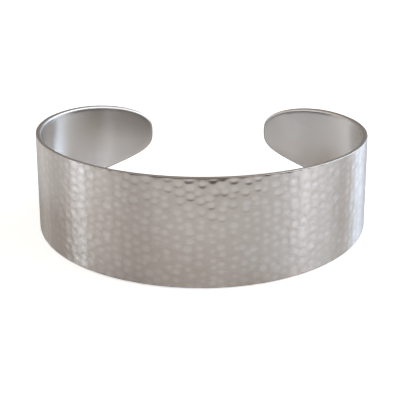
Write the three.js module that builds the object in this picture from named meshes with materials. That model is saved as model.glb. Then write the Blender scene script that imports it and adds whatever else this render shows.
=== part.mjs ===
// Hammered bangle: an open cuff, one strip of sheet metal with tapered arms and rounded ends, bent
// into a flattened ring with a gap at the back. Millimetres, +Z up, the front towards -Y. The cuff
// lies on its lower edge, and the origin is at the middle of the bottom of its box.
import * as THREE from 'three';
import { mergeVertices } from 'three/addons/utils/BufferGeometryUtils.js';

const degrees = THREE.MathUtils.degToRad;

// The flat strip
const THICKNESS = 1.0;
const FRONT_WIDTH = 20.3;
const EDGE_CHAMFER = 0.2;
const END_POWER = 3; // the rounded ends' curve: 2 is an ellipse, and a higher power is squarer

// The bend of the outer face: one arc across the front, then a side arc and an end arc in each arm
const FRONT_RADIUS = 31.8;
const FRONT_SWEEP = degrees(52.1); // from the middle of the front to each side arc

// The two arms are bent by hand and differ a little. reach is the length of the arm's outer face
// from the middle of the front to the tip. The taper alone would leave endWidth at the tip, and
// the last roundLength of the arm is its rounded end. The end arc takes what is left of the reach.
const ARMS = {
  left: {
    side: -1, reach: 81.2, sideRadius: 28.5, sideSweep: degrees(43.8),
    endRadius: 24.7, endWidth: 12.0, taperPower: 2.2, roundLength: 23.0,
  },
  right: {
    side: 1, reach: 82.8, sideRadius: 27.7, sideSweep: degrees(43.9),
    endRadius: 27.9, endWidth: 11.2, taperPower: 2.0, roundLength: 19.8,
  },
};

// How it lies: the lower edge is fullest at the front, so the cuff leans back until its two sides
// touch the ground, and a little towards the narrower right arm
const LEAN_BACK = degrees(3.1);
const LEAN_RIGHT = degrees(0.18);

const FACETS_ALONG = 96;
const FACETS_ACROSS = 8;

// The strip's wall in section, from the inner face to the outer one: how deep each row of points
// lies under the outer face, and how far the chamfer sets it in from the outline
const WALL_ROWS = [
  { depth: THICKNESS, inset: EDGE_CHAMFER },
  { depth: THICKNESS - EDGE_CHAMFER, inset: 0 },
  { depth: EDGE_CHAMFER, inset: 0 },
  { depth: 0, inset: EDGE_CHAMFER },
];

const SILVER = new THREE.MeshStandardMaterial({ color: 0xb9b3ad, roughness: 0.3, metalness: 1 });

// A point of the flat strip, as its distance along the arm and its height. along runs from 0 at
// the middle of the front to 1 at the tip, and across from -1 at the lower edge to 1 at the upper
// one. In the rounded end, each square round its base is drawn in to the curve of the same size.
function flatPoint(arm, along, across) {
  const roundShare = arm.roundLength / arm.reach;
  const intoEnd = Math.max(0, (along - 1 + roundShare) / roundShare);
  const edge = Math.abs(across);
  const size = Math.max(intoEnd, edge);
  const drawIn = size > 0 ? size / (intoEnd ** END_POWER + edge ** END_POWER) ** (1 / END_POWER) : 1;
  const straight = Math.min(along, 1 - roundShare) * arm.reach;
  const distance = straight + intoEnd * drawIn * arm.roundLength;
  const width = FRONT_WIDTH + (arm.endWidth - FRONT_WIDTH) * (distance / arm.reach) ** arm.taperPower;
  return { distance, height: (across * drawIn * width) / 2 };
}

// The outer face from above, at a distance along an arm that bends to +X: its place and its outward
// direction. Each arc starts where the last one ends and in the same direction.
function bentPoint(arm, distance) {
  const arcs = [
    { radius: FRONT_RADIUS, sweep: FRONT_SWEEP },
    { radius: arm.sideRadius, sweep: arm.sideSweep },
    { radius: arm.endRadius, sweep: Infinity },
  ];
  const outwardAt = (angle) => new THREE.Vector2(Math.sin(angle), -Math.cos(angle));
  const centre = new THREE.Vector2();
  let arc = 0;
  let turned = 0;
  let remaining = distance;
  while (remaining > arcs[arc].radius * arcs[arc].sweep) {
    turned += arcs[arc].sweep;
    remaining -= arcs[arc].radius * arcs[arc].sweep;
    centre.addScaledVector(outwardAt(turned), arcs[arc].radius - arcs[arc + 1].radius);
    arc += 1;
  }
  const outward = outwardAt(turned + remaining / arcs[arc].radius);
  return { place: centre.addScaledVector(outward, arcs[arc].radius), outward };
}

// A box with one row of facets for each step of the wall, its points moved to the bent strip
function cuffGeometry() {
  const steps = WALL_ROWS.length - 1;
  const geometry = new THREE.BoxGeometry(2, 2, steps, FACETS_ALONG, FACETS_ACROSS, steps);
  const points = geometry.attributes.position;
  for (let i = 0; i < points.count; i += 1) {
    const arm = points.getX(i) < 0 ? ARMS.left : ARMS.right;
    const { depth, inset } = WALL_ROWS[Math.round(points.getZ(i) + steps / 2)];
    const flat = flatPoint(arm, Math.abs(points.getX(i)), points.getY(i));
    const distance = flat.distance * (1 - inset / arm.reach);
    const height = flat.height * (1 - (2 * inset) / FRONT_WIDTH);
    const { place, outward } = bentPoint(arm, distance);
    place.addScaledVector(outward, -depth);
    points.setXYZ(i, arm.side * place.x, place.y, height);
  }
  geometry.deleteAttribute('normal');
  geometry.deleteAttribute('uv');
  const closed = mergeVertices(geometry);
  closed.computeVertexNormals();
  return closed;
}

const cuffBand = new THREE.Mesh(cuffGeometry(), SILVER);
cuffBand.name = 'cuff_band';
cuffBand.rotation.set(-LEAN_BACK, LEAN_RIGHT, 0, 'YXZ');

// The leaning cuff is set down on the ground with its box centred over the origin
const box = new THREE.Box3().setFromObject(cuffBand, true);
const middle = box.getCenter(new THREE.Vector3());
cuffBand.position.set(-middle.x, -middle.y, -box.min.z);

const bangle = new THREE.Group();
bangle.add(cuffBand);

export default bangle;
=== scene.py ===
"""Hammered cuff bangle in silver, on a plain pale table in soft studio light.

The packed cuff is the fixed frame. The finished cuff is made as a silversmith makes it: a flat
blank with rounded ends and edges, a field of hammer blows on its outer face, and a bend round the
wrist. Metres, +Z up, the front towards -Y.
"""

import math
import random

import bmesh
import bpy
from mathutils import Matrix, Vector


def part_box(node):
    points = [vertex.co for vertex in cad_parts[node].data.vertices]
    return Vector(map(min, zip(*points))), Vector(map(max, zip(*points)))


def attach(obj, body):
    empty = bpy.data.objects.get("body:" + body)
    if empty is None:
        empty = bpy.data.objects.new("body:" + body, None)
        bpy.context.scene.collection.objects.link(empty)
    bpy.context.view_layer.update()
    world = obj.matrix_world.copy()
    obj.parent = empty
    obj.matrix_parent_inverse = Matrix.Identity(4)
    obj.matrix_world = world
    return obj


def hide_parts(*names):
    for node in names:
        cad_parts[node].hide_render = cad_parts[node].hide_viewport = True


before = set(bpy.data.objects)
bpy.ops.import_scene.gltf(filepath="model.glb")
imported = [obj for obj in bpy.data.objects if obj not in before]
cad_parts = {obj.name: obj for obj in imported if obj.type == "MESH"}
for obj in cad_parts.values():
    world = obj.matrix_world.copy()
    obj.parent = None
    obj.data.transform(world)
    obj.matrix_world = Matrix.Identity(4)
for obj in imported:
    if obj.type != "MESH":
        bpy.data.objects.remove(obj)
CUFF_LOW, CUFF_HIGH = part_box("cuff_band")
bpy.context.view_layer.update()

bl_info = {
    "name": "Hammered Cuff Bangle",
    "version": (1, 0, 0),
    "blender": (4, 5, 0),
    "location": "3D View > Sidebar > Cuff Bangle",
    "description": "Makes a hammered silver cuff and the table it lies on",
    "category": "Object",
}

MM = 0.001
OUTER, INNER, RIM = 0, 1, 2  # the cuff's material slots


# ---------------------------------------------------------------------------------------------
# Settings
# ---------------------------------------------------------------------------------------------


def length(name, description, millimetres):
    """A length setting, given in millimetres."""
    return bpy.props.FloatProperty(
        name=name, description=description, default=millimetres * MM, unit="LENGTH", precision=6
    )


def turn(name, description, degrees):
    """An angle setting, given in degrees."""
    return bpy.props.FloatProperty(
        name=name, description=description, default=math.radians(degrees), subtype="ANGLE"
    )


def share(name, description, default):
    """A setting from 0 to 1."""
    return bpy.props.FloatProperty(
        name=name, description=description, default=default, min=0.0, max=1.0, subtype="FACTOR"
    )


def number(name, description, default):
    """A plain number."""
    return bpy.props.FloatProperty(name=name, description=description, default=default)


def count(name, description, default):
    """A whole number."""
    return bpy.props.IntProperty(name=name, description=description, default=default, min=1)


def tint(name, description, colour):
    """A colour setting."""
    return bpy.props.FloatVectorProperty(
        name=name,
        description=description,
        default=colour,
        size=3,
        min=0.0,
        max=1.0,
        subtype="COLOR",
    )


class StripSizes(bpy.types.PropertyGroup):
    """The flat strip that both arms share, and the bend of its front."""

    thickness: length("Thickness", "Thickness of the sheet", 1.0)
    front_width: length("Front Width", "Width of the strip at the middle of the front", 20.3)
    edge_round: length("Edge Round", "Radius of the outer edges, filed nearly sharp", 0.1)
    wrist_round: length("Wrist Round", "Radius of the inner edges, eased for the wrist", 0.46)
    end_power: number("End Power", "Curve of the rounded ends: 2 is an ellipse", 3.0)
    front_radius: length("Front Radius", "Radius of the bend across the front", 31.8)
    front_sweep: turn("Front Sweep", "Turn from the middle of the front to a side", 52.1)
    lean_back: turn("Lean Back", "Lean of the lying cuff away from its front", 3.1)
    lean_right: turn("Lean Right", "Lean of the lying cuff to its narrower arm", 0.18)


class LeftArmSizes(bpy.types.PropertyGroup):
    """The arm that bends to -X."""

    reach: length("Reach", "Length from the middle of the front to the tip", 81.2)
    side_radius: length("Side Radius", "Radius of the bend at the side", 28.5)
    side_sweep: turn("Side Sweep", "Turn of the bend at the side", 43.8)
    end_radius: length("End Radius", "Radius of the bend towards the tip", 24.7)
    end_width: length("End Width", "Width that the taper alone would leave at the tip", 12.0)
    taper_power: number("Taper Power", "How late the arm narrows", 2.2)
    round_length: length("Round Length", "Length of the rounded end", 23.0)


class RightArmSizes(bpy.types.PropertyGroup):
    """The arm that bends to +X."""

    reach: length("Reach", "Length from the middle of the front to the tip", 82.8)
    side_radius: length("Side Radius", "Radius of the bend at the side", 27.7)
    side_sweep: turn("Side Sweep", "Turn of the bend at the side", 43.9)
    end_radius: length("End Radius", "Radius of the bend towards the tip", 27.9)
    end_width: length("End Width", "Width that the taper alone would leave at the tip", 11.2)
    taper_power: number("Taper Power", "How late the arm narrows", 2.0)
    round_length: length("Round Length", "Length of the rounded end", 19.8)


class HammerSettings(bpy.types.PropertyGroup):
    """The blows of the round-faced hammer."""

    column_pitch: length("Column Pitch", "Step between columns of blows along the strip", 1.9)
    row_pitch: length("Row Pitch", "Step between blows in a column", 1.6)
    scatter: share("Scatter", "How far a blow lands off its place, in steps", 0.25)
    mark_width: length("Mark Width", "Width of the mark that a blow leaves, across the strip", 1.68)
    mark_stretch: number("Mark Stretch", "How much longer a mark is along the strip", 1.2)
    width_spread: share("Width Spread", "How much the marks differ in width", 0.16)
    mark_depth: length("Mark Depth", "Depth of the mark of an ordinary blow", 0.039)
    mark_power: number("Mark Power", "How flat a mark is in its middle: 2 is a round bowl", 2.6)
    light_blows: share("Light Blows", "How much shallower the lightest blows are", 0.28)
    hard_blows: number("Hard Blows", "How much deeper the few hardest blows are", 0.7)
    upper_force: number("Upper Force", "How much harder the blows are at the upper edge", 0.24)
    side_ease: share("Side Ease", "How much lighter the blows are at the sides", 0.28)
    side_start: length("Side Start", "How far from the front's middle the blows are lightest", 26.0)
    ridge_round: length("Ridge Round", "How far the ridges between blows are softened", 0.003)
    seed: count("Seed", "Starts the scatter of the blows", 14)
    cells_along: count("Cells Along", "Mesh cells along the outer face, a multiple of 5", 760)
    cells_across: count("Cells Across", "Mesh cells across the outer face, a multiple of 4", 92)


class FinishSettings(bpy.types.PropertyGroup):
    """The colours and polish of the silver."""

    silver: tint("Silver", "Clean silver", (0.66, 0.64, 0.62))
    dull_silver: tint("Dull Silver", "Silver that has begun to tarnish", (0.53, 0.484, 0.437))
    edge_silver: tint("Edge Silver", "The filed and burnished edge", (0.54, 0.51, 0.48))
    hammered_roughness: share("Hammered Roughness", "Roughness of the hammered face", 0.11)
    satin_roughness: share("Satin Roughness", "Roughness of the inner face", 0.21)
    edge_roughness: share("Edge Roughness", "Roughness of the edge", 0.38)


class StageSettings(bpy.types.PropertyGroup):
    """The table, the light and the camera."""

    table_colour: tint("Table Colour", "The table under the cuff", (0.8, 0.8, 0.8))
    table_glow: number("Table Glow", "Brightness added to the table for the camera alone", 0.6)
    table_roughness: share("Table Roughness", "Roughness of the board as the cuff mirrors it", 0.12)
    board_edge: length("Board Edge", "From the middle of the cuff to the board's front edge", 108.0)
    edge_blur: length("Edge Blur", "How softly the board ends, to each side of its edge", 14.0)
    board_turn: turn("Board Turn", "Turn of the board, its left end nearer to the camera", 14.0)
    # Near Shade, Inner Shade and Inner Light are painted shadow and light on the board, seen in the
    # cuff
    near_shade: share("Near Shade", "How much darker the board is at the cuff's foot", 0.11)
    shade_reach: length("Shade Reach", "How far in front of the middle the shade ends", 80.0)
    inner_shade: share("Inner Shade", "How much darker the board is inside, at front right", 0.5)
    inner_light: share("Inner Light", "How much lighter the board is inside, at back left", 0.12)
    inner_reach: length("Inner Reach", "From the middle of the cuff to the inner shade's end", 25.0)
    bench_colour: tint("Bench Colour", "The bench in front of the board", (0.12, 0.105, 0.095))
    azimuth: turn("Azimuth", "Camera's angle round the cuff from its front", 4.4)
    elevation: turn("Elevation", "Camera's angle above the table", 24.76)
    roll: turn("Roll", "Camera's turn about its own line of sight", -0.658)
    distance: length("Distance", "From the camera to what it looks at", 249.6)
    aim_x: length("Aim X", "Where the camera looks, to the right of the middle", -0.22)
    aim_z: length("Aim Z", "Where the camera looks, above the table", 3.95)
    lens: number("Lens", "Focal length in millimetres on a 36 mm sensor", 117.92)


# ---------------------------------------------------------------------------------------------
# The shape
# ---------------------------------------------------------------------------------------------


MERGE_GAP = 0.005 * MM  # points closer than this are one
ON_LINE = 1e-6  # an edge runs along an axis if its ends differ by less than this in the other one
BLOCK_ALONG, BLOCK_ACROSS = 5, 4  # the outer face's cells under one cell of the plain inner face
EDGE_STEPS, WRIST_STEPS = 3, 5  # mesh steps in the outer and the inner rounded edges


def blank_point(strip, arm, along, across):
    """A point of the flat blank as its distance along the arm and its height.

    along runs from 0 at the middle of the front to 1 at the tip, and across from -1 at the lower
    edge to 1 at the upper one. In the rounded end, each square round its base is drawn in to the
    curve of the same size.
    """
    round_share = arm.round_length / arm.reach
    into_end = max(0.0, (along - 1.0 + round_share) / round_share)
    edge = abs(across)
    size = max(into_end, edge)
    power = strip.end_power
    draw_in = size / (into_end**power + edge**power) ** (1.0 / power) if size > 0 else 1.0
    straight = min(along, 1.0 - round_share) * arm.reach
    distance = straight + into_end * draw_in * arm.round_length
    narrowing = (distance / arm.reach) ** arm.taper_power
    width = strip.front_width + (arm.end_width - strip.front_width) * narrowing
    return distance, across * draw_in * width / 2.0


def bent_point(strip, arm, distance):
    """The outer face seen from above, at a distance along an arm to +X, and its outward way."""
    arcs = (
        (strip.front_radius, strip.front_sweep),
        (arm.side_radius, arm.side_sweep),
        (arm.end_radius, math.inf),
    )
    centre = Vector((0.0, 0.0))
    turned = 0.0
    remaining = distance
    arc = 0
    while remaining > arcs[arc][0] * arcs[arc][1]:
        radius, sweep = arcs[arc]
        turned += sweep
        remaining -= radius * sweep
        centre += Vector((math.sin(turned), -math.cos(turned))) * (radius - arcs[arc + 1][0])
        arc += 1
    angle = turned + remaining / arcs[arc][0]
    outward = Vector((math.sin(angle), -math.cos(angle)))
    return centre + outward * arcs[arc][0], outward


def set_in(strip, arms, inset):
    """How much an inset from the edge shrinks the blank, along and across."""
    mean_reach = (arms[0].reach + arms[1].reach) / 2.0
    return 1.0 - inset / mean_reach, 1.0 - 2.0 * inset / strip.front_width


def cut_face(strip, arms, inset, cells, edge_cuts=(1, 1)):
    """One face of the flat blank, set in by its edge's rounding.

    edge_cuts says into how many parts each cell's side is cut along the two kinds of border.
    """
    bm = bmesh.new()
    bmesh.ops.create_grid(bm, x_segments=cells[0], y_segments=cells[1], size=1.0)
    for axis, parts in enumerate(edge_cuts):
        if parts > 1:
            other = 1 - axis
            border = [e for e in bm.edges if e.is_boundary]
            edges = [e for e in border if abs(e.verts[0].co[other] - e.verts[1].co[other]) < ON_LINE]
            bmesh.ops.subdivide_edges(bm, edges=edges, cuts=parts - 1)
    shrink_along, shrink_across = set_in(strip, arms, inset)
    for v in bm.verts:
        right = v.co.x >= 0
        distance, height = blank_point(strip, arms[right], abs(v.co.x), v.co.y)
        v.co.x = (1 if right else -1) * distance * shrink_along
        v.co.y = height * shrink_across
    return bm


def edge_rows(strip):
    """The section of the edge from the outer face to the inner one, as (inset, depth) pairs."""
    rows = []
    for step in range(1, EDGE_STEPS + 1):
        angle = math.pi / 2 * step / EDGE_STEPS
        inset = strip.edge_round * (1 - math.sin(angle))
        rows.append((inset, strip.edge_round * (1 - math.cos(angle))))
    for step in range(WRIST_STEPS + 1):
        angle = math.pi / 2 * step / WRIST_STEPS
        inset = strip.wrist_round * (1 - math.cos(angle))
        rows.append((inset, strip.thickness - strip.wrist_round * (1 - math.sin(angle))))
    return rows


def sort_by_points(bm):
    """Sorts the edges and faces by their points, since extruding makes them in no fixed order."""
    bm.verts.index_update()
    for parts in (bm.edges, bm.faces):
        for place, part in enumerate(sorted(parts, key=lambda p: sorted(v.index for v in p.verts))):
            part.index = place
        parts.sort()


def cut_blank(strip, arms, hammer):
    """The closed flat blank: the outer face at depth 0, the inner one below it, the rim between."""
    cells = (hammer.cells_along, hammer.cells_across)
    bm = cut_face(strip, arms, strip.edge_round, cells)
    for face in bm.faces:
        face.material_index = OUTER
    row = [e for e in bm.edges if e.is_boundary]
    shrunk_now, depth_now = set_in(strip, arms, strip.edge_round), 0.0
    for inset, depth in edge_rows(strip):
        grown = bmesh.ops.extrude_edge_only(bm, edges=row)["geom"]
        points = [g for g in grown if isinstance(g, bmesh.types.BMVert)]
        row = [g for g in grown if isinstance(g, bmesh.types.BMEdge) and g.is_boundary]
        for face in (g for g in grown if isinstance(g, bmesh.types.BMFace)):
            face.material_index = RIM
        shrunk = set_in(strip, arms, inset)
        grow = (shrunk[0] / shrunk_now[0], shrunk[1] / shrunk_now[1], 1.0)
        bmesh.ops.scale(bm, vec=grow, verts=points)
        bmesh.ops.translate(bm, vec=(0.0, 0.0, depth_now - depth), verts=points)
        shrunk_now, depth_now = shrunk, depth
    blocks = (cells[0] // BLOCK_ALONG, cells[1] // BLOCK_ACROSS)
    inner = cut_face(strip, arms, strip.wrist_round, blocks, (BLOCK_ALONG, BLOCK_ACROSS))
    bmesh.ops.translate(inner, vec=(0.0, 0.0, -strip.thickness), verts=inner.verts)
    for face in inner.faces:
        face.material_index = INNER
    spare = bpy.data.meshes.new("inner_face")
    inner.to_mesh(spare)
    inner.free()
    bm.from_mesh(spare)
    bpy.data.meshes.remove(spare)
    bmesh.ops.remove_doubles(bm, verts=bm.verts, dist=MERGE_GAP)
    bmesh.ops.recalc_face_normals(bm, faces=bm.faces)
    sort_by_points(bm)
    return bm


SPARE_BLOWS = 3  # columns and rows of blows past the blank, for the points near its edges
STAGGER = 0.5  # how far every second column is shifted, in rows
HARD_RARITY = 4  # power that makes hard blows rare
UPPER_RISE = 3  # power by which the force grows towards the upper edge
SIDE_FALL = 2  # power by which the force falls towards the sides
EDGE_FADE = 0.45  # share of the thickness over which the marks fade out down the edge


def strike_blows(strip, arms, hammer):
    """Every blow by its column and row: where it lands, half its mark's width, and its depth."""
    draw = random.Random(hammer.seed)
    columns = int(max(arm.reach for arm in arms) / hammer.column_pitch) + SPARE_BLOWS
    rows = int(strip.front_width / 2.0 / hammer.row_pitch) + SPARE_BLOWS
    blows = {}
    for column in range(-columns, columns + 1):
        for row in range(-rows, rows + 1):
            along = (column + draw.uniform(-hammer.scatter, hammer.scatter)) * hammer.column_pitch
            up = row + STAGGER * (column % 2) + draw.uniform(-hammer.scatter, hammer.scatter)
            up *= hammer.row_pitch
            force = 1.0 - hammer.light_blows * draw.random()
            force += hammer.hard_blows * draw.random() ** HARD_RARITY
            to_upper_edge = max(0.0, up / strip.front_width * 2.0)
            force *= 1.0 + hammer.upper_force * to_upper_edge**UPPER_RISE
            to_side = min(1.0, abs(along) / hammer.side_start)
            force *= 1.0 - hammer.side_ease * to_side**SIDE_FALL
            half = hammer.mark_width / 2.0
            half *= draw.uniform(1.0 - hammer.width_spread, 1.0 + hammer.width_spread)
            blows[column, row] = (along, up, half, hammer.mark_depth * force)
    return blows


def blow_depth(hammer, blows, along, up):
    """How deep the blows leave the outer face at a point, and how much they burnish it.

    The depth is that of the deepest bowl, its ridges softened. The burnish is about 1 in the
    middle of an ordinary blow's mark, and 0 at its rim. The paler colour it gives there is in
    part a painted sheen.
    """
    middle = round(along / hammer.column_pitch)
    total = 1.0
    burnish_and_sheen = 0.0
    for column in (middle - 1, middle, middle + 1):
        level = round(up / hammer.row_pitch - STAGGER * (column % 2))
        for row in (level - 1, level, level + 1):
            at, height, half, depth = blows[column, row]
            off = math.hypot((along - at) / hammer.mark_stretch, up - height) / half
            here = depth * (1.0 - off**hammer.mark_power)
            total += math.exp(here / hammer.ridge_round)
            burnish_and_sheen = max(burnish_and_sheen, (1.0 - off) * depth / hammer.mark_depth)
    return hammer.ridge_round * math.log(total), burnish_and_sheen


def hammer_face(bm, strip, arms, hammer):
    """Sinks the blows into the outer face, and less and less down its edge."""
    blows = strike_blows(strip, arms, hammer)
    # how far each point is burnished, which also sets the painted sheen in the marks' middles
    struck = bm.verts.layers.float.new("struck")
    for v in bm.verts:
        kept_share = 1.0 + v.co.z / (EDGE_FADE * strip.thickness)
        if kept_share > 0:
            depth, v[struck] = blow_depth(hammer, blows, v.co.x, v.co.y)
            v.co.z -= depth * kept_share


def lay_strip_map(bm, strip):
    """A map in millimetres that follows the flat strip, for grain and scratches."""
    layer = bm.loops.layers.uv.new("strip")
    for face in bm.faces:
        for loop in face.loops:
            x, y, z = loop.vert.co / MM
            loop[layer].uv = (x, y - z)


def bend_strip(bm, strip, arms):
    """Bends the flat blank round the wrist, leans it as it lies, and sets it in its place."""
    for v in bm.verts:
        right = v.co.x >= 0
        place, outward = bent_point(strip, arms[right], abs(v.co.x))
        place += outward * v.co.z
        v.co = Vector((place.x if right else -place.x, place.y, v.co.y))
    lean = Matrix.Rotation(strip.lean_right, 3, "Y") @ Matrix.Rotation(-strip.lean_back, 3, "X")
    bmesh.ops.rotate(bm, cent=(0.0, 0.0, 0.0), matrix=lean, verts=bm.verts)
    low = Vector([min(v.co[axis] for v in bm.verts) for axis in range(3)])
    high = Vector([max(v.co[axis] for v in bm.verts) for axis in range(3)])
    wanted = (CUFF_LOW + CUFF_HIGH) / 2.0
    shift = wanted - (low + high) / 2.0
    shift.z = CUFF_LOW.z - low.z
    bmesh.ops.translate(bm, vec=shift, verts=bm.verts)


# ---------------------------------------------------------------------------------------------
# The finishes
# ---------------------------------------------------------------------------------------------


VALUE, COLOUR, VECTOR = "NodeSocketFloat", "NodeSocketColor", "NodeSocketVector"
MIX_FIRST, MIX_SECOND, MIX_RESULT = 6, 7, 2  # the colour sockets of a Mix node

CLOUD_DETAIL, CLOUD_ROUGHNESS = 5.0, 0.6  # the noise of the tarnish's patches
CLOUD_RANGE = (0.42, 0.72)  # that noise where the metal is clean, and where a patch is full
LAND_RANGE = (0.75, 0.15)  # the burnish where the metal is clean and paler, in part a painted sheen, and where it is plain land

GRAIN_STRETCH = 0.12  # how fast the grain changes along the strip, against its speed across it
GRAIN_DETAIL = 3.0
# The turn and the closeness of each layer of scratches. The turn takes another part of the noise.
SCRATCH_LAYERS = ((0.35, 1.1), (-0.6, 0.8), (1.3, 0.9))
SCRATCH_SHIFT = (7.0, 5.0)  # a layer's shift for each unit of its turn, and of its closeness
SCRATCH_STRETCH = (0.09, 3.2)  # how fast the noise changes along a scratch, and across it
SCRATCH_SCALE, SCRATCH_DETAIL = 1.6, 2.0
SCRATCH_RANGE = (0.66, 0.72)  # the noise where a scratch begins, and where it is full

TARNISH_ROUGHENS, SCRATCH_ROUGHENS = 0.12, 0.08  # roughness that full tarnish and scratches add


def add_node(tree, kind, inputs=None, **settings):
    """Adds a node, and gives each named or numbered input a value or a link."""
    made = tree.nodes.new(kind)
    for name, value in settings.items():
        setattr(made, name, value)
    for name, value in (inputs or {}).items():
        if isinstance(value, bpy.types.NodeSocket):
            tree.links.new(value, made.inputs[name])
        else:
            made.inputs[name].default_value = value
    return made


def maths(tree, operation, first, second=0.0, third=0.0):
    """The result of one Math node."""
    inputs = {0: first, 1: second, 2: third}
    return add_node(tree, "ShaderNodeMath", inputs, operation=operation).outputs[0]


def blended(tree, factor, first, second):
    """The result of mixing two colours."""
    inputs = {"Factor": factor, MIX_FIRST: first, MIX_SECOND: second}
    return add_node(tree, "ShaderNodeMix", inputs, data_type="RGBA").outputs[MIX_RESULT]


def ramped(tree, value, low, high, to_low=0.0, to_high=1.0):
    """A value stretched smoothly from one range to another."""
    inputs = {
        "Value": value,
        "From Min": low,
        "From Max": high,
        "To Min": to_low,
        "To Max": to_high,
    }
    made = add_node(tree, "ShaderNodeMapRange", inputs, interpolation_type="SMOOTHSTEP")
    return made.outputs["Result"]


def new_group(name, inputs, outputs):
    """An empty shader node group with its sockets, its input node and its output node."""
    tree = bpy.data.node_groups.new(name, "ShaderNodeTree")
    for label, kind, default in inputs:
        socket = tree.interface.new_socket(name=label, in_out="INPUT", socket_type=kind)
        if default is not None:
            socket.default_value = default
    for label, kind in outputs:
        tree.interface.new_socket(name=label, in_out="OUTPUT", socket_type=kind)
    return tree, tree.nodes.new("NodeGroupInput"), tree.nodes.new("NodeGroupOutput")


def tarnish_and_sheen_group():
    """Clean metal, duller in cloudy patches and on the land no blow has burnished: partly painted
    sheen.
    """
    tree, given, result = new_group(
        "Tarnish and Painted Sheen",
        [
            ("Place", VECTOR, None),
            ("Clean", COLOUR, None),
            ("Dull", COLOUR, None),
            ("Patch Size", VALUE, 8.0),
            ("Patches", VALUE, 0.3),
            ("Struck", VALUE, 1.0),
            ("Land Dulling and Sheen", VALUE, 0.2),
        ],
        [("Colour", COLOUR), ("Mask", VALUE)],
    )
    inputs = {
        "Vector": given.outputs["Place"],
        "Scale": maths(tree, "DIVIDE", 1.0 / MM, given.outputs["Patch Size"]),
        "Detail": CLOUD_DETAIL,
        "Roughness": CLOUD_ROUGHNESS,
    }
    cloud = add_node(tree, "ShaderNodeTexNoise", inputs).outputs["Fac"]
    patches = maths(tree, "MULTIPLY", ramped(tree, cloud, *CLOUD_RANGE), given.outputs["Patches"])
    # dulling the land leaves each mark's middle paler: partly tarnish, partly a painted sheen
    unstruck = ramped(tree, given.outputs["Struck"], *LAND_RANGE)
    land = maths(tree, "MULTIPLY", unstruck, given.outputs["Land Dulling and Sheen"])
    mask = maths(tree, "ADD", patches, land)
    colour = blended(tree, mask, given.outputs["Clean"], given.outputs["Dull"])
    tree.links.new(colour, result.inputs["Colour"])
    tree.links.new(mask, result.inputs["Mask"])
    return tree


def wear_group():
    """Brushed grain and fine scratches along the strip, as one height and the scratches' mask."""
    tree, given, result = new_group(
        "Grain and Scratches",
        [
            ("Strip", VECTOR, None),
            ("Grain Lines", VALUE, 12.0),
            ("Grain", VALUE, 0.5),
            ("Scratches", VALUE, 0.5),
        ],
        [("Height", VALUE), ("Scratched", VALUE)],
    )
    inputs = {"Vector": given.outputs["Strip"], "Scale": (GRAIN_STRETCH, 1.0, 1.0)}
    drawn_out = add_node(tree, "ShaderNodeMapping", inputs).outputs["Vector"]
    inputs = {"Vector": drawn_out, "Scale": given.outputs["Grain Lines"], "Detail": GRAIN_DETAIL}
    grain = add_node(tree, "ShaderNodeTexNoise", inputs).outputs["Fac"]
    height = maths(tree, "MULTIPLY", grain, given.outputs["Grain"])
    marks = None
    for angle, closeness in SCRATCH_LAYERS:
        inputs = {
            "Vector": given.outputs["Strip"],
            "Location": (SCRATCH_SHIFT[0] * angle, SCRATCH_SHIFT[1] * closeness, 0.0),
            "Rotation": (0.0, 0.0, angle),
            "Scale": (SCRATCH_STRETCH[0] * closeness, SCRATCH_STRETCH[1] * closeness, 1.0),
        }
        layer = add_node(tree, "ShaderNodeMapping", inputs).outputs["Vector"]
        inputs = {"Vector": layer, "Scale": SCRATCH_SCALE, "Detail": SCRATCH_DETAIL}
        streak = add_node(tree, "ShaderNodeTexNoise", inputs).outputs["Fac"]
        line = ramped(tree, streak, *SCRATCH_RANGE)
        marks = line if marks is None else maths(tree, "MAXIMUM", marks, line)
    scratched = maths(tree, "MULTIPLY", marks, given.outputs["Scratches"])
    tree.links.new(maths(tree, "SUBTRACT", height, scratched), result.inputs["Height"])
    tree.links.new(scratched, result.inputs["Scratched"])
    return tree


def silver_material(name, groups, finish, looks):
    """One silver finish, with its tarnish and painted sheen, grain and scratches in the amounts of
    looks.
    """
    material = bpy.data.materials.new(name)
    material.use_nodes = True
    tree = material.node_tree
    tree.nodes.clear()
    place = add_node(tree, "ShaderNodeTexCoord").outputs["Object"]
    strip = add_node(tree, "ShaderNodeUVMap", uv_map="strip").outputs["UV"]
    struck = add_node(tree, "ShaderNodeAttribute", attribute_name="struck").outputs["Fac"]
    inputs = {
        "Place": place,
        "Clean": (*looks["clean"], 1.0),
        "Dull": (*finish.dull_silver, 1.0),
        "Patch Size": looks["patch_size"],
        "Patches": looks["patches"],
        "Struck": struck,
        "Land Dulling and Sheen": looks["land_dulling_and_sheen"],
    }
    tarnish = add_node(tree, "ShaderNodeGroup", inputs, node_tree=groups["tarnish"])
    inputs = {
        "Strip": strip,
        "Grain Lines": looks["grain_lines"],
        "Grain": looks["grain"],
        "Scratches": looks["scratches"],
    }
    wear = add_node(tree, "ShaderNodeGroup", inputs, node_tree=groups["wear"])
    tarnished, scratched = tarnish.outputs["Mask"], wear.outputs["Scratched"]
    rough = maths(tree, "MULTIPLY_ADD", tarnished, TARNISH_ROUGHENS, looks["roughness"])
    rough = maths(tree, "MULTIPLY_ADD", scratched, SCRATCH_ROUGHENS, rough)
    inputs = {"Strength": 1.0, "Distance": looks["bump"] * MM, "Height": wear.outputs["Height"]}
    bump = add_node(tree, "ShaderNodeBump", inputs)
    inputs = {
        "Base Color": tarnish.outputs["Colour"],
        "Metallic": 1.0,
        "Roughness": rough,
        "Normal": bump.outputs["Normal"],
    }
    shader = add_node(tree, "ShaderNodeBsdfPrincipled", inputs)
    add_node(tree, "ShaderNodeOutputMaterial", {"Surface": shader.outputs[0]})
    return material


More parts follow.
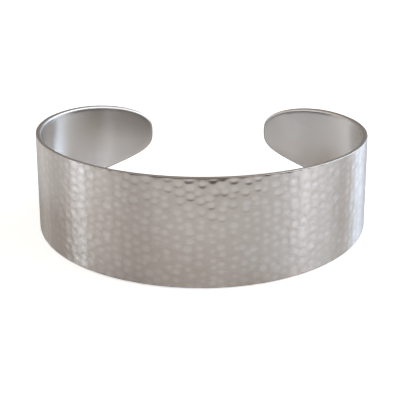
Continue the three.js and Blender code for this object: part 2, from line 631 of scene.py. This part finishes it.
def silver_finishes(finish):
    """The three finishes of the cuff, in the order of its material slots."""
    groups = {"tarnish": tarnish_and_sheen_group(), "wear": wear_group()}
    # on the hammered face the land is dulled against the marks' middles, which is in part a painted
    # sheen
    hammered = {
        "clean": finish.silver,
        "patch_size": 9.0,
        "patches": 0.25,
        "land_dulling_and_sheen": 0.52,
        "grain_lines": 9.0,
        "grain": 0.3,
        "scratches": 0.3,
        "roughness": finish.hammered_roughness,
        "bump": 0.003,
    }
    satin = {
        "clean": finish.silver,
        "patch_size": 14.0,
        "patches": 0.3,
        "land_dulling_and_sheen": 0.0,
        "grain_lines": 14.0,
        "grain": 0.4,
        "scratches": 0.06,
        "roughness": finish.satin_roughness,
        "bump": 0.004,
    }
    edge = {
        "clean": finish.edge_silver,
        "patch_size": 4.0,
        "patches": 0.5,
        "land_dulling_and_sheen": 0.0,
        "grain_lines": 10.0,
        "grain": 0.6,
        "scratches": 0.9,
        "roughness": finish.edge_roughness,
        "bump": 0.008,
    }
    return [
        silver_material("hammered_silver", groups, finish, hammered),
        silver_material("satin_silver", groups, finish, satin),
        silver_material("edge_silver", groups, finish, edge),
    ]


# ---------------------------------------------------------------------------------------------
# The stage
# ---------------------------------------------------------------------------------------------


CUFF_MIDDLE = 10.0 * MM  # height above the table that the softboxes point at
TABLE_CELLS, TABLE_HALF = 8, 3.0  # mesh cells each way, and metres from the middle to a side

FLECK_SHADE = 0.985  # the darker flecks of the board, as a share of its colour
FLECK_SCALE, FLECK_DETAIL = 60.0, 4.0  # the noise of the flecks
MATT_ROUGHNESS = 0.6  # roughness of the board to the camera
FOOT_LINE = -20.0 * MM  # Y of the line from which the shade at the cuff's foot is full
INNER_BLUR = 3.0 * MM  # how softly the inner shade ends, to each side of its reach
TO_BACK_LEFT = (-0.5, 0.87, 0.0)  # the way along which the inner shade turns to light
INNER_RANGE = (-4.0 * MM, 9.5 * MM)  # along it, where the shade is full, and where the light is

ROOM_RANGE = (0.25, 0.9)  # sines of the angles above the table between which the room lightens
LOW_ROOM, HIGH_ROOM = (0.24, 0.22, 0.208, 1.0), (0.5, 0.41, 0.335, 1.0)
WHITE = (1.0, 1.0, 1.0, 1.0)


def fade_ends(lamp, fade):
    """Fades a softbox towards its two ends. The fade is a share of its width."""
    lamp.use_nodes = True
    tree = lamp.node_tree
    tree.nodes.clear()
    place = add_node(tree, "ShaderNodeNewGeometry").outputs["Parametric"]
    across = add_node(tree, "ShaderNodeSeparateXYZ", {0: place}).outputs["X"]
    to_end = maths(tree, "MINIMUM", across, maths(tree, "SUBTRACT", 1.0, across))
    strength = ramped(tree, to_end, 0.0, fade)
    light = add_node(tree, "ShaderNodeEmission", {"Strength": strength})
    add_node(tree, "ShaderNodeOutputLight", {"Surface": light.outputs[0]})


def soft_box(name, azimuth, height, distance, size, fade, watts, colour):
    """A rectangular softbox that faces the cuff. Azimuth 0 is the front, and 90 the right."""
    turn_to = math.radians(azimuth)
    lamp = bpy.data.lights.new(name, "AREA")
    lamp.shape = "RECTANGLE"
    lamp.size, lamp.size_y = size
    lamp.energy = watts
    lamp.color = colour
    fade_ends(lamp, fade)
    holder = bpy.data.objects.new(name, lamp)
    bpy.context.scene.collection.objects.link(holder)
    place = Vector((math.sin(turn_to) * distance, -math.cos(turn_to) * distance, height))
    to_cuff = Vector((0.0, 0.0, CUFF_MIDDLE)) - place
    holder.location = place
    holder.rotation_euler = to_cuff.to_track_quat("-Z", "Y").to_euler()


def along_way(tree, place, way):
    """How far a place is from the middle of the table along one way."""
    inputs = {0: place, 1: way}
    return add_node(tree, "ShaderNodeVectorMath", inputs, operation="DOT_PRODUCT").outputs["Value"]


def board_shade(tree, stage, place):
    """Painted shadow and light of the board at a place: darker from the cuff's foot back, uneven
    inside.
    """
    depth = add_node(tree, "ShaderNodeSeparateXYZ", {0: place}).outputs["Y"]
    foot = ramped(tree, depth, -stage.shade_reach, FOOT_LINE, 1.0, 1.0 - stage.near_shade)
    reach = add_node(tree, "ShaderNodeVectorMath", {0: place}, operation="LENGTH").outputs["Value"]
    start, end = stage.inner_reach - INNER_BLUR, stage.inner_reach + INNER_BLUR
    inside = ramped(tree, reach, start, end, 1.0, 0.0)
    side = along_way(tree, place, TO_BACK_LEFT)
    lit = ramped(tree, side, *INNER_RANGE, -stage.inner_shade, stage.inner_light)
    return maths(tree, "MULTIPLY", foot, maths(tree, "MULTIPLY_ADD", inside, lit, 1.0))


def table_material(stage):
    """A pale board: matt and evenly lit to the camera, and glossy in the cuff's reflections.

    There it has its painted shadow and light, and it ends in front of the cuff over a darker bench.
    """
    material = bpy.data.materials.new("white_table")
    material.use_nodes = True
    tree = material.node_tree
    tree.nodes.clear()
    place = add_node(tree, "ShaderNodeTexCoord").outputs["Object"]
    inputs = {"Vector": place, "Scale": FLECK_SCALE, "Detail": FLECK_DETAIL}
    fleck = add_node(tree, "ShaderNodeTexNoise", inputs).outputs["Fac"]
    low = (*(FLECK_SHADE * c for c in stage.table_colour), 1.0)
    colour = blended(tree, fleck, low, (*stage.table_colour, 1.0))
    shade = board_shade(tree, stage, place)
    inputs = {0: colour, "Scale": shade}
    shaded = add_node(tree, "ShaderNodeVectorMath", inputs, operation="SCALE").outputs[0]
    inputs = {"Base Color": shaded, "Roughness": stage.table_roughness}
    board = add_node(tree, "ShaderNodeBsdfPrincipled", inputs)
    bench = add_node(tree, "ShaderNodeBsdfDiffuse", {"Color": (*stage.bench_colour, 1.0)})
    forward = (math.sin(stage.board_turn), -math.cos(stage.board_turn), 0.0)
    start, end = stage.board_edge - stage.edge_blur, stage.board_edge + stage.edge_blur
    on_board = ramped(tree, along_way(tree, place, forward), start, end, 1.0, 0.0)
    inputs = {0: on_board, 1: bench.outputs[0], 2: board.outputs[0]}
    mirrored = add_node(tree, "ShaderNodeMixShader", inputs)
    inputs = {"Base Color": colour, "Roughness": MATT_ROUGHNESS}
    matt = add_node(tree, "ShaderNodeBsdfPrincipled", inputs)
    glow = add_node(tree, "ShaderNodeEmission", {"Strength": stage.table_glow})
    seen = add_node(tree, "ShaderNodeAddShader", {0: matt.outputs[0], 1: glow.outputs[0]})
    to_camera = add_node(tree, "ShaderNodeLightPath").outputs["Is Camera Ray"]
    inputs = {0: to_camera, 1: mirrored.outputs[0], 2: seen.outputs[0]}
    both = add_node(tree, "ShaderNodeMixShader", inputs)
    add_node(tree, "ShaderNodeOutputMaterial", {"Surface": both.outputs[0]})
    return material


def studio_room():
    """The room round the table: dim at eye level, lighter overhead, white to the camera."""
    world = bpy.data.worlds.new("studio_room")
    bpy.context.scene.world = world
    world.use_nodes = True
    tree = world.node_tree
    tree.nodes.clear()
    way = add_node(tree, "ShaderNodeTexCoord").outputs["Generated"]
    up = add_node(tree, "ShaderNodeSeparateXYZ", {0: way}).outputs["Z"]
    room = blended(tree, ramped(tree, up, *ROOM_RANGE), LOW_ROOM, HIGH_ROOM)
    to_camera = add_node(tree, "ShaderNodeLightPath").outputs["Is Camera Ray"]
    seen = blended(tree, to_camera, room, WHITE)
    sky = add_node(tree, "ShaderNodeBackground", {"Color": seen, "Strength": 1.0})
    add_node(tree, "ShaderNodeOutputWorld", {"Surface": sky.outputs[0]})


LAMPS = (
    # name, azimuth in degrees, height, distance, (width, height), fade, watts, colour
    ("front_strip", 10.0, 0.17, 0.7, (1.25, 0.2), 0.15, 0.32, (1.0, 1.0, 1.0)),
    ("front_fill", 0.0, 0.42, 0.7, (1.2, 0.28), 0.5, 0.56, (1.0, 1.0, 1.0)),
    ("left_softbox", -85.0, 0.28, 0.7, (0.3, 0.3), 0.5, 0.68, (0.88, 1.0, 1.16)),
    ("left_fill", -80.0, 0.3, 0.7, (1.2, 0.36), 0.5, 2.2, (0.96, 0.97, 1.0)),
    ("back_left_softbox", -130.0, 0.3, 0.7, (0.7, 0.4), 0.5, 1.35, (0.95, 0.96, 0.94)),
    ("right_softbox", 74.0, 0.28, 0.7, (0.36, 0.3), 0.5, 0.58, (0.93, 0.99, 1.12)),
    ("right_softbox_behind", 94.0, 0.28, 0.7, (0.4, 0.3), 0.5, 0.5, (0.85, 1.02, 1.16)),
    ("right_fill", 74.0, 0.3, 0.7, (1.2, 0.36), 0.5, 2.23, (0.92, 1.0, 1.12)),
    ("right_top", 90.0, 0.6, 0.6, (1.2, 0.4), 0.5, 4.1, (0.98, 0.95, 0.9)),
    ("back_right_softbox", 140.0, 0.31, 0.7, (0.6, 0.52), 0.5, 5.0, (0.72, 0.94, 1.24)),
    ("back_right_fill", 125.0, 0.31, 0.7, (0.7, 0.4), 0.5, 1.05, (0.92, 0.97, 1.02)),
)


SENSOR_WIDTH = 36.0  # millimetres
NEAREST_SEEN = 10.0 * MM  # from the camera


def make_camera(stage):
    """The camera in front of the cuff, looking down on it."""
    lens = bpy.data.cameras.new("camera")
    lens.lens = stage.lens
    lens.sensor_width = SENSOR_WIDTH
    lens.clip_start = NEAREST_SEEN
    lens.dof.use_dof = False
    camera = bpy.data.objects.new("camera", lens)
    bpy.context.scene.collection.objects.link(camera)
    tip_up = Matrix.Rotation(math.pi / 2 - stage.elevation, 3, "X")
    turned = Matrix.Rotation(stage.azimuth, 3, "Z") @ tip_up
    back = turned @ Vector((0.0, 0.0, 1.0))
    aim = Vector((stage.aim_x, 0.0, stage.aim_z))
    camera.location = aim + back * stage.distance
    camera.rotation_euler = (turned @ Matrix.Rotation(stage.roll, 3, "Z")).to_euler()
    bpy.context.scene.camera = camera


# ---------------------------------------------------------------------------------------------
# Operators and panel
# ---------------------------------------------------------------------------------------------


class CUFF_OT_make_cuff(bpy.types.Operator):
    """Make the hammered silver cuff round the packed one"""

    bl_idname = "cuff.make_cuff"
    bl_label = "Make Cuff"

    def execute(self, context):
        scene = context.scene
        strip = scene.cuff_strip
        arms = (scene.cuff_left_arm, scene.cuff_right_arm)
        bm = cut_blank(strip, arms, scene.cuff_hammer)
        hammer_face(bm, strip, arms, scene.cuff_hammer)
        lay_strip_map(bm, strip)
        bend_strip(bm, strip, arms)
        if any(not e.is_manifold for e in bm.edges):
            raise RuntimeError("the cuff's shell isn't closed")
        for face in bm.faces:
            face.smooth = True
        mesh = bpy.data.meshes.new("hammered_cuff")
        bm.to_mesh(mesh)
        bm.free()
        for material in silver_finishes(scene.cuff_finish):
            mesh.materials.append(material)
        cuff = bpy.data.objects.new("hammered_cuff", mesh)
        scene.collection.objects.link(cuff)
        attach(cuff, "root")
        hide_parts("cuff_band")
        return {"FINISHED"}


class CUFF_OT_set_stage(bpy.types.Operator):
    """Set the table, the studio light and the camera"""

    bl_idname = "cuff.set_stage"
    bl_label = "Set Stage"

    def execute(self, context):
        stage = context.scene.cuff_stage
        bm = bmesh.new()
        bmesh.ops.create_grid(bm, x_segments=TABLE_CELLS, y_segments=TABLE_CELLS, size=TABLE_HALF)
        mesh = bpy.data.meshes.new("table")
        bm.to_mesh(mesh)
        bm.free()
        mesh.materials.append(table_material(stage))
        table = bpy.data.objects.new("table", mesh)
        context.scene.collection.objects.link(table)
        studio_room()
        for lamp in LAMPS:
            soft_box(*lamp)
        make_camera(stage)
        context.scene.view_settings.view_transform = "Standard"
        return {"FINISHED"}


class CUFF_PT_panel(bpy.types.Panel):
    """The settings and buttons of the cuff"""

    bl_idname = "CUFF_PT_panel"
    bl_label = "Cuff Bangle"
    bl_space_type = "VIEW_3D"
    bl_region_type = "UI"
    bl_category = "Cuff Bangle"

    def draw(self, context):
        layout = self.layout
        for name, group in SETTINGS:
            box = layout.box()
            box.label(text=group.__doc__)
            for setting in group.__annotations__:
                box.prop(getattr(context.scene, name), setting)
        layout.operator(CUFF_OT_make_cuff.bl_idname)
        layout.operator(CUFF_OT_set_stage.bl_idname)


SETTINGS = (
    ("cuff_strip", StripSizes),
    ("cuff_left_arm", LeftArmSizes),
    ("cuff_right_arm", RightArmSizes),
    ("cuff_hammer", HammerSettings),
    ("cuff_finish", FinishSettings),
    ("cuff_stage", StageSettings),
)
CLASSES = (*(group for _, group in SETTINGS), CUFF_OT_make_cuff, CUFF_OT_set_stage, CUFF_PT_panel)


def register():
    """Adds the classes, and the settings to the scene."""
    for cls in CLASSES:
        bpy.utils.register_class(cls)
    for name, group in SETTINGS:
        setattr(bpy.types.Scene, name, bpy.props.PointerProperty(type=group))


def unregister():
    """Takes the settings and the classes away."""
    for name, _ in SETTINGS:
        delattr(bpy.types.Scene, name)
    for cls in reversed(CLASSES):
        bpy.utils.unregister_class(cls)


def main():
    """Makes the cuff and its stage."""
    register()
    bpy.ops.cuff.make_cuff()
    bpy.ops.cuff.set_stage()


if __name__ == "__main__":
    main()
